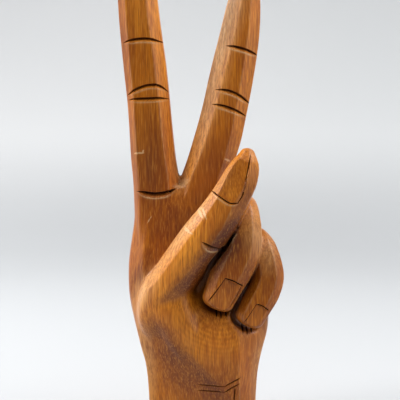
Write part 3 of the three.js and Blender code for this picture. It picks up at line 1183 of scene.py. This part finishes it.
@dataclass(frozen=True)
class OiledHardwood:
    """Carved, sanded and oiled tropical hardwood.

    The eye gets a warm orange brown with fine upright flecks, faint growth rings that draw arcs
    on the rounded heel, dark dust with painted shade in the cuts, paler worn edges, a few pale
    scratches and a satin sheen on the flats. Over it lie painted highlights and pale painted sheen
    on lit sides and crease lips, and painted shade on undersides and round the hollows.
    """

    name: str = "oiled carved hardwood"
    early: str = "BA6804"
    late: str = "CCB6A6"  # what is left of a colour in a dark streak
    pore: str = "68320A"
    fibre: str = "D89440"
    painted_highlight: str = "F29A30"  # painted highlight on upper sides, lit finger flanks and lit patches
    oiled: str = "703610"  # painted shade: the colour that undersides and shaded patches are darkened to
    hollow_shade: str = "562508"  # painted shade round the hollows
    cut_dust_and_shade: str = "22100A"  # dark dust and painted shade in the cuts
    worn: str = "E6BE8A"  # worn arrises and scratches, and also the pale painted sheen patches and painted crease lips

    streak: Figure = Figure(1.2, 36.0, 3.0)  # lighter and darker fibres along the block
    fleck: Figure = Figure(0.5, 8.0, 2.0)  # a pore is finer, and is drawn this coarse to show
    tone: Figure = Figure(26.0, 90.0, 3.0)  # patches of lighter and darker wood
    speckle: Figure = Figure(0.7, 1.2, 2.0)  # breaks the scuffs up
    dents: Figure = Figure(9.0, 18.0, 1.0)  # the spacing of the knife's shallow dents

    heel: Patch = Patch((3.0, -25.0, 63.0), (30.0, 19.0), -14.0, 1.0, 13.0)
    rings_at: Triple = (10.0, -24.0, 80.0)  # the growth rings surface round here, on the heel
    ring_spacing: float = 2.4
    ring_strength: float = 0.17
    ring_wander: float = 3.5  # how far they stray from true circles
    ring_detail: float = 3.0
    ring_detail_size: float = 0.25
    bands: Ramp = Ramp(0.76, 1.24, soft=True)  # from light wood to a dark streak
    pores: Ramp = Ramp(0.5, 0.76, 0.0, 0.6)
    fibres: Ramp = Ramp(0.47, 0.25, 0.0, 0.5)

    flank: Ramp = Ramp(0.25, 0.8)  # how far a side faces right to get a painted highlight
    inner_flank: Ramp = Ramp(-0.25, -0.8)  # or left, on the middle finger
    inner_room: Ramp = Ramp(-12 * MM, -6 * MM)  # where the middle finger starts
    ring_room: Ramp = Ramp(112 * MM, 140 * MM, 0.0, 0.75)  # the flanks' painted highlight grows over these heights up the fingers
    upper: Ramp = Ramp(-0.04, 0.6, 0.0, 0.3)  # sides that face up get a painted highlight too
    under: Ramp = Ramp(-0.1, -0.7, 0.0, 0.6)  # sides that face down get painted shade
    uneven: Ramp = Ramp(0.35, 0.6, 0.65, 1.0)  # how the tone breaks the patches up
    ragged: Ramp = Ramp(0.18, 0.32)  # how crisp a scuff's rim is

    hollow: Ramp = Ramp(0.72, 0.25)  # from open wood to a hollow
    hollow_shade_reach: float = 16.0  # how far the painted shade lies out of a hollow
    hollow_shade_room: Ramp = Ramp(126 * MM, 142 * MM, 0.75, 0.1)  # it fades out up the fingers
    dust_and_shade_reach: float = 2.6  # how far the dust and painted shade lie out of a cut
    dust_and_shade_most: float = 0.92
    grime_dullness: float = 0.3
    hollow_rays: int = 8

    dent_relief: Pair = (0.4, 0.4)  # strength, and depth
    pore_relief: Pair = (0.35, 0.12)
    gloss: Ramp = Ramp(0.3, 0.7, 0.29, 0.41)  # the roughness, which follows the tone
    refraction: float = 1.48
    sheen: float = 0.32

    scuffs: Sequence[Patch] = (
        Patch((-1.5, -32, 124.6), (6, 1.5), -58, 0.8),
        Patch((0.8, -32, 124.4), (5.6, 1.2), -70, 0.8),
        Patch((-1.6, -32, 126.4), (4.4, 1.1), 24, 0.6),
        Patch((-8.8, -31, 116.6), (4.6, 1), -34, 0.8),
        Patch((-7.6, -31, 115), (5, 1.1), -26, 0.8),
        Patch((-34.4, -9.5, 154.8), (5.4, 1), 4, 0.6),
        Patch((-32, -9.5, 155.6), (2.6, 0.9), 60, 0.6),
        Patch((13.6, -9.5, 151), (3.4, 1.2), -20, 0.6),
        Patch((-11, -8, 138.5), (8, 3.6), 34, 0.55),
        Patch((-28.6, -10, 119), (4.4, 0.6), 58, 0.55),
    )
    # painted highlights: patches made paler where lit sides should look brighter
    highlight_at: Sequence[Patch] = (
        Patch((-9, -34, 106), (46, 13), 54, 1.7),
        Patch((-28, -20, 77), (32, 22), 60, 1.1),
        Patch((2, -26, 60), (40, 30), -20, 0.8),
        Patch((-34, -4, 30), (14, 34), 0, 0.9),
        Patch((32, -8, 36), (12, 30), 0, 0.6),
        Patch((11, -30, 82), (11, 8), 60, 0.4),
        Patch((28, -26, 69), (9, 6), 60, 0.4),
        Patch((14, -9, 200), (50, 14), 78, 0.5),
        Patch((5, -5, 192), (64, 11), 76, 1.4),
        Patch((-18, -6, 172), (56, 7.5), 96, 1.4),
        Patch((-34, -6, 242), (36, 16), 94, 0.9, 22),
        Patch((22, -6, 242), (34, 14), 80, 1.3, 22),
    )
    # painted shade: patches made darker where shade or shadow falls, among them the shadow beside
    # the thumb
    oiled_at: Sequence[Patch] = (
        Patch((-10, -8, 122), (24, 16), 48, 0.75),
        Patch((8, -8, 148), (24, 13), 60, 0.75),
        Patch((18, -30, 106), (20, 18), 70, 0.7),
        Patch((32, -24, 92), (18, 13), 70, 0.4),
        Patch((-29, -8, 152), (36, 13), 92, 0.8),
        # painted shade on the flat pared off low on the wrist, which faces down
        Patch((-3.2, -22, 47.4), (46, 28), -47, 0.85, 24, True),
        Patch((-8, -22, 87), (16, 8), 36, 0.9),
        Patch((4, -32, 99), (32, 10), 52, 1.1),
        Patch((21, -30, 130), (26, 7), 68, 0.9),
        Patch((-33, -10, 89), (20, 7), 58, 0.9),
        Patch((37, -13, 67), (13, 6), 70, 1.4),
        Patch((15, -33, 142), (17, 9), 60, 0.6),
        Patch((-44, -3, 200), (58, 5), 93, 0.6),
    )
    # pale painted sheen: patches made paler and whiter where side light should glance off
    painted_sheen_at: Sequence[Patch] = (
        Patch((-35, -6, 38), (42, 12), 90, 0.9, 26),
        Patch((33, -8, 34), (36, 9), 90, 0.65, 26),
        Patch((4, -4, 194), (62, 11), 76, 0.85),
        Patch((-31.6, -18, 81.2), (26, 8), 55, 0.75),
        Patch((-8.5, -27, 118), (46, 6), 53, 0.8, 14),
        Patch((16, -4, 236), (38, 11), 76, 0.85),
        Patch((-12.5, -2, 148), (18, 6), 90, 0.7, 20),
        Patch((27, -24, 115), (18, 8), 80, 0.5),
        Patch((34, -22, 104), (15, 8), 100, 0.5),
    )

    WAVE = 2 * math.pi / 20  # the scale at which a Wave node's rings are one unit apart

    def material(self) -> bpy.types.Material:
        """Makes the material.

        Returns:
            The material.
        """
        nodes = Nodes(self.name)
        fleck = nodes.noise(self.fleck)
        tone = nodes.noise(self.tone)
        colour = self._painted_light(nodes, tone)
        colour = self._grain(nodes, colour, tone)
        for hue, ramp in ((self.pore, self.pores), (self.fibre, self.fibres)):
            colour = nodes.mix(nodes.ramp(fleck, ramp), colour, linear(hue))
        colour = self._wear(nodes, colour, tone)
        colour, cuts = self._shade_and_dust(nodes, colour)
        gloss = nodes.ramp(tone, self.gloss)
        return nodes.finish(
            {
                "Base Color": colour,
                "Roughness": nodes.math(Sum.TIMES_AND_ADD, cuts, self.grime_dullness, gloss),
                "Normal": self._relief(nodes, fleck),
                "IOR": self.refraction,
                "Specular IOR Level": self.sheen,
            }
        )

    def _painted_light(self, nodes: Nodes, tone: Socket) -> Socket:
        """Adds painted light: painted highlights, painted shade on undersides and pale painted
        sheen.

        Args:
            nodes: the material's nodes.
            tone: a pattern that breaks the edges up.

        Returns:
            The colour.
        """
        sides = nodes.axes(nodes.add("TexCoord")["Normal"])
        spot = nodes.axes(nodes.place)
        # painted highlight: lit flanks up the fingers, and sides that face up
        inner = nodes.ramp(spot["X"], self.inner_room, nodes.ramp(sides["X"], self.inner_flank))
        flank = nodes.math(Sum.LARGER, nodes.ramp(sides["X"], self.flank), inner)
        highlight_share = nodes.math(
            Sum.TIMES_AND_ADD,
            flank,
            nodes.ramp(spot["Z"], self.ring_room),
            nodes.ramp(sides["Z"], self.upper),
        )
        colour = linear(self.early)
        # painted highlight, then painted shade, then pale painted sheen in the worn colour
        for share, patches, hue in (
            (highlight_share, self.highlight_at, self.painted_highlight),
            (nodes.ramp(sides["Z"], self.under), self.oiled_at, self.oiled),
            (0, self.painted_sheen_at, self.worn),
        ):
            for patch in patches:
                share = nodes.math(Sum.TIMES_AND_ADD, patch.share(nodes), patch.amount, share)
            uneven = nodes.ramp(tone, self.uneven)
            broken = nodes.math(Sum.TIMES, share, uneven, clamp=True)
            colour = nodes.mix(broken, colour, linear(hue))
        return colour

    def _grain(self, nodes: Nodes, colour: Socket, tone: Socket) -> Socket:
        """Adds darker streaks, and the growth rings that surface on the heel.

        Args:
            nodes: the material's nodes.
            colour: the wood's colour.
            tone: a pattern that the streaks follow.

        Returns:
            The colour.
        """
        mixed = nodes.math(Sum.ADD, nodes.noise(self.streak), tone)
        inputs = {
            "Vector": nodes.within(self.rings_at, (self.ring_spacing,) * 3),
            "Scale": self.WAVE,
            "Distortion": self.ring_wander,
            "Detail": self.ring_detail,
            "Detail Scale": self.ring_detail_size,
        }
        rings = nodes.add(
            "TexWave", inputs, wave_type="RINGS", rings_direction="SPHERICAL", wave_profile="SIN"
        )
        arcs = nodes.math(Sum.TIMES, rings["Fac"], self.heel.share(nodes))
        share = nodes.math(Sum.TIMES_AND_ADD, arcs, self.ring_strength, mixed)
        return nodes.mix(nodes.ramp(share, self.bands), colour, linear(self.late), Blend.STAIN)

    def _wear(self, nodes: Nodes, colour: Socket, tone: Socket) -> Socket:
        """Adds worn arrises and painted lip highlights from the mesh's attribute, and scratches.

        Args:
            nodes: the material's nodes.
            colour: the wood's colour.
            tone: a pattern that breaks the wear up.

        Returns:
            The colour.
        """
        arrises = nodes.add("Attribute", attribute_name="wear_and_lip_highlight")["Fac"]
        worn = nodes.math(Sum.TIMES, arrises, tone)
        speckle = nodes.noise(self.speckle)
        for scuff in self.scuffs:
            spot = nodes.math(Sum.TIMES, scuff.share(nodes), speckle)
            worn = nodes.math(Sum.LARGER, worn, nodes.ramp(spot, self.ragged, scuff.amount))
        return nodes.mix(worn, colour, linear(self.worn))

    def _shade_and_dust(self, nodes: Nodes, colour: Socket) -> tuple[Socket, Socket]:
        """Adds painted shade round the hollows, and dark dust with painted shade in the cuts.

        Args:
            nodes: the material's nodes.
            colour: the wood's colour.

        Returns:
            The colour, and how much of it is the cuts' dust and painted shade.
        """
        # painted shade round the hollows, fading out up the fingers
        hollow_shade = nodes.ramp(nodes.axes(nodes.place)["Z"], self.hollow_shade_room)
        for reach, dark, most in (
            (self.hollow_shade_reach, self.hollow_shade, hollow_shade),
            (self.dust_and_shade_reach, self.cut_dust_and_shade, self.dust_and_shade_most),
        ):
            inputs = {"Distance": reach * MM}
            hollow = nodes.add("AmbientOcclusion", inputs, samples=self.hollow_rays)["AO"]
            share = nodes.ramp(hollow, self.hollow, most)
            colour = nodes.mix(share, colour, linear(dark))
        return colour, share

    def _relief(self, nodes: Nodes, fleck: Socket) -> Socket:
        """Adds the pores' fine relief and the knife's shallow dents.

        Args:
            nodes: the material's nodes.
            fleck: the pores' pattern.

        Returns:
            The surface's direction.
        """
        strength, depth = self.dent_relief
        inputs = {"Strength": strength, "Distance": depth * MM, "Height": nodes.noise(self.dents)}
        coarse = nodes.add("Bump", inputs)[0]
        strength, depth = self.pore_relief
        inputs = {"Strength": strength, "Distance": depth * MM, "Height": fleck, "Normal": coarse}
        return nodes.add("Bump", inputs, invert=True)[0]


@dataclass(frozen=True)
class PaperSweep:
    """Pale studio paper: matt, a little greyer on the floor, and to the right as painted shade.

    The near part of it is dark for the light that it throws back, and only for that, so that the
    palm keeps its shade.
    """

    name: str = "pale studio paper"
    pale: str = "F0F1F2"
    # painted shade: the paper's colour on its right side
    painted_shade_right: str = "E8EAEB"
    floor: str = "C5C7C9"
    shade: str = "333436"
    right: Ramp = Ramp(-0.3, 0.6, soft=True)  # in metres, as the next two are
    wall: Ramp = Ramp(0.0, 0.2, soft=True)
    near: Ramp = Ramp(-0.08, -0.4, soft=True)
    unseen: Ramp = Ramp(1.0, 0.0)
    roughness: float = 0.95
    sheen: float = 0.1

    def material(self) -> bpy.types.Material:
        """Makes the material.

        Returns:
            The material.
        """
        nodes = Nodes(self.name)
        sides = nodes.axes(nodes.place)
        right = nodes.ramp(sides["X"], self.right)
        # painted shade: the paper turns greyer towards the right
        colour = nodes.mix(right, linear(self.pale), linear(self.painted_shade_right))
        colour = nodes.mix(nodes.ramp(sides["Z"], self.wall), linear(self.floor), colour)
        path = nodes.add("LightPath")
        seen = path["Is Camera Ray"]
        for kind in ("Is Glossy Ray", "Is Transmission Ray"):
            seen = nodes.math(Sum.LARGER, seen, path[kind])
        dark = nodes.ramp(seen, self.unseen, nodes.ramp(sides["Y"], self.near))
        return nodes.finish(
            {
                "Base Color": nodes.mix(dark, colour, linear(self.shade)),
                "Roughness": self.roughness,
                "Specular IOR Level": self.sheen,
            }
        )


# The hand


@dataclass(frozen=True)
class CarvedHand:
    """The whole carving, and the seven members that it is parted into."""

    members: Members = Members()
    surface: Surface = Surface()
    knife_work: KnifeWork = KnifeWork()
    finish: OiledHardwood = OiledHardwood()
    wrist_top: float = 42.0
    web_height: float = 141.0
    web_across: float = -12.3
    lap: float = 0.8  # how far a folded member's share reaches past its own limb
    sharp: float = 32.0  # edges that turn by more degrees than this stay crisp

    def build(self) -> dict[str, Piece]:
        """Carves the hand and parts it.

        Returns:
            The members by the names of the CAD nodes that they replace.
        """
        block = self.surface.finish(self.members.fused())
        LOG.info("block has %d faces", len(block.data.polygons))
        self.knife_work.cut(block)
        return self._parted(block)

    def _parted(self, block: Piece) -> dict[str, Piece]:
        """Parts the block: the folded members by their limbs, the rest by level planes.

        Args:
            block: the cut block.

        Returns:
            The members by name.
        """
        parts: dict[str, Piece] = {}
        for limb in (self.members.thumb, self.members.ring_finger, self.members.little_finger):
            share = limb.build(self.lap)
            member = copy_of(block, limb.name + "_carving")
            parts[limb.name] = joined(member, share, Join.KEEP, keep_second=True)
            block = joined(block, share, Join.CUT)
        wrist_top = Vector((0, 0, self.wrist_top))
        web = Vector((self.web_across, 0, self.web_height))
        parts["wrist"] = sawn(copy_of(block, "wrist_carving"), wrist_top, -UP)
        block = sawn(block, wrist_top, UP)
        raised = sawn(copy_of(block, "middle_carving"), web, UP)
        parts["palm"] = sawn(block, web, -UP)
        parts["index_finger"] = sawn(copy_of(raised, "index_carving"), web, -ACROSS)
        parts["middle_finger"] = sawn(raised, web, ACROSS)
        return parts

    def dress(self, parts: dict[str, Piece]) -> None:
        """Gives each member its finish and its place in the frame.

        Args:
            parts: the members by name.
        """
        wood = self.finish.material()
        for node, piece in parts.items():
            named(piece, node + "_carved")
            piece.data.materials.clear()
            piece.data.materials.append(wood)
            pick_up(piece)
            bpy.ops.object.shade_smooth_by_angle(angle=math.radians(self.sharp))
            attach(piece, "root")
            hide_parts(node)
            LOG.info("%s stands for %s with %d faces", piece.name, node, len(piece.data.polygons))


# The studio


@dataclass(frozen=True)
class SoftLight:
    """A square area light: its place and its side in metres, its power in watts and its aim."""

    name: str
    place: Triple
    size: float
    power: float
    aim: Triple = (0.0, 0.0, 0.14)

    def build(self) -> None:
        """Hangs the light."""
        turn = towards(Vector(self.place), Vector(self.aim))
        bpy.ops.object.light_add(type="AREA", location=self.place, rotation=turn)
        light = bpy.context.object
        light.name = self.name
        light.data.shape = "SQUARE"
        light.data.size = self.size
        light.data.energy = self.power


@dataclass(frozen=True)
class Studio:
    """A round paper sweep, soft light from above and a camera at the photograph's angle."""

    floor_radius: float = 600.0
    floor_sides: int = 96
    cove: float = 900.0  # the radius of the curve up to the wall
    cove_steps: int = 12
    wall: float = 500.0  # how far the wall goes on straight up
    camera_place: Triple = (-1.3, -418.98, 158.3)
    camera_aim: Triple = (-1.3, 0.0, 129.0)
    camera_clip: float = 10.0
    field_of_view: float = 29.353
    paper: PaperSweep = PaperSweep()
    lights: Sequence[SoftLight] = (
        SoftLight("left_high", (-0.7, 0.0, 0.9), 0.7, 12.6),
        SoftLight("right_high", (0.7, 0.0, 0.9), 0.7, 6.8),
        SoftLight("left_panel", (-0.85, -0.1, 0.45), 0.7, 2.8),
        SoftLight("right_panel", (0.75, -0.4, 0.45), 0.7, 2.6),
        SoftLight("front_fill", (0.0, -0.4, 1.0), 0.8, 2.4),
        SoftLight("backdrop", (0.0, 0.45, 1.3), 0.8, 1.8, (0.0, 1.4, 0.35)),
    )
    room: str = "E6EAEE"
    room_strength: float = 0.1

    def build(self) -> None:
        """Sets up the camera, the sweep, the lights and the pale room round them."""
        self._camera()
        self._sweep()
        put_down()
        for light in self.lights:
            light.build()
        scene = bpy.context.scene
        scene.world = scene.world or bpy.data.worlds.new("room")
        scene.world.use_nodes = True
        background = scene.world.node_tree.nodes["Background"]
        background.inputs["Color"].default_value = linear(self.room)
        background.inputs["Strength"].default_value = self.room_strength
        scene.view_settings.view_transform = "Standard"

    def _camera(self) -> None:
        """Places the camera."""
        put_down()
        place, aim = Vector(self.camera_place) * MM, Vector(self.camera_aim) * MM
        bpy.ops.object.camera_add(location=place, rotation=towards(place, aim))
        camera = bpy.context.object
        camera.data.sensor_fit = "HORIZONTAL"
        camera.data.angle = math.radians(self.field_of_view)
        camera.data.clip_start = self.camera_clip * MM
        bpy.context.scene.camera = camera

    def _sweep(self) -> None:
        """Draws the paper: a round floor whose rim curves up into a wall."""
        put_down()
        bpy.ops.mesh.primitive_circle_add(
            vertices=self.floor_sides,
            radius=self.floor_radius * MM,
            fill_type="NGON",
            enter_editmode=True,
        )
        sweep = bpy.context.object
        sweep.name = "paper_sweep"
        mesh = bmesh.from_edit_mesh(sweep.data)
        for face in mesh.faces:
            face.select = False
        mesh.select_mode = {"EDGE"}
        for edge in mesh.edges:
            edge.select = True
        mesh.select_flush(False)
        bmesh.update_edit_mesh(sweep.data)
        radius, height = self.floor_radius, 0.0
        for step in range(1, self.cove_steps + 1):
            turn = step / self.cove_steps * QUARTER
            wider = self.floor_radius + self.cove * math.sin(turn)
            higher = self.cove * (1 - math.cos(turn))
            self._raise_rim(higher - height)
            bpy.ops.transform.resize(
                value=(wider / radius, wider / radius, 1), center_override=(0, 0, higher * MM)
            )
            radius, height = wider, higher
        self._raise_rim(self.wall)
        bpy.ops.mesh.select_all(action="SELECT")
        bpy.ops.mesh.normals_make_consistent(inside=True)
        pick_up(sweep)
        bpy.ops.object.shade_smooth()
        sweep.data.materials.append(self.paper.material())

    @staticmethod
    def _raise_rim(rise: float) -> None:
        """Extrudes the rim that is selected straight up, by millimetres."""
        bpy.ops.mesh.extrude_edges_move(TRANSFORM_OT_translate={"value": (0, 0, rise * MM)})


def main() -> None:
    """Builds the studio and the hand."""
    logging.basicConfig(level=logging.INFO, format="%(name)s: %(message)s")
    Studio().build()
    hand = CarvedHand()
    parts = hand.build()
    hand.dress(parts)


if __name__ == "__main__":
    main()
